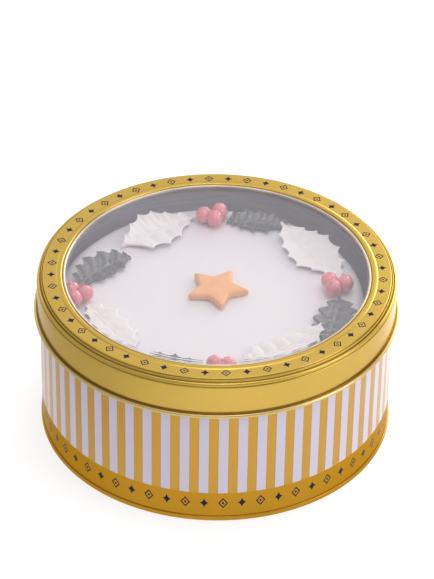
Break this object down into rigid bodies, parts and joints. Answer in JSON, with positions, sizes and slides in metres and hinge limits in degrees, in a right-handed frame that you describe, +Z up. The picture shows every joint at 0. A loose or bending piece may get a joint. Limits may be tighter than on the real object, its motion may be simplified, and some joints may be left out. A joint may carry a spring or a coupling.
{
  "type": "christmas cake",
  "caption": "White iced Christmas cake with holly leaves, berries and an orange star, shut in its round gold and white striped gift tin with a clear window in the lid.",
  "frame": {"origin": "middle of the foot rim, on the surface that the tin stands on", "axes": "+Z up through the lid, -Y towards the front, where one sprig lies, and +X to its right"},
  "size_m": [0.17, 0.17, 0.0806],
  "materials": {
    "gold_tinplate": "satin gold lacquer on pressed tinplate",
    "striped_tinplate": "gold lacquer with printed white stripes, satin",
    "foot_tinplate": "gold lacquer on the rim, bare tinplate below",
    "clear_window": "clear thermoformed sheet, glossy",
    "white_icing": "rolled white sugarpaste, soft satin",
    "orange_paste": "modelled sugarpaste, soft satin",
    "green_paste": "veined sugarpaste, dry satin",
    "white_paste": "veined sugarpaste, matt",
    "red_paste": "modelled sugarpaste, glazed"
  },
  "bodies": {
    "root": {"tin_body": "striped_tinplate", "tin_base": "foot_tinplate", "lid": "gold_tinplate", "window": "clear_window", "cake": "white_icing", "star": "orange_paste", "leaf_green_back": "green_paste", "leaf_green_right": "green_paste", "leaf_green_front": "green_paste", "leaf_green_left": "green_paste", "leaf_white_back": "white_paste", "leaf_white_right": "white_paste", "leaf_white_front": "white_paste", "leaf_white_left": "white_paste", "berry_back_1": "red_paste", "berry_back_2": "red_paste", "berry_back_3": "red_paste", "berry_right_1": "red_paste", "berry_right_2": "red_paste", "berry_right_3": "red_paste", "berry_front_1": "red_paste", "berry_front_2": "red_paste", "berry_front_3": "red_paste", "berry_left_1": "red_paste", "berry_left_2": "red_paste", "berry_left_3": "red_paste"}
  },
  "joints": []
}
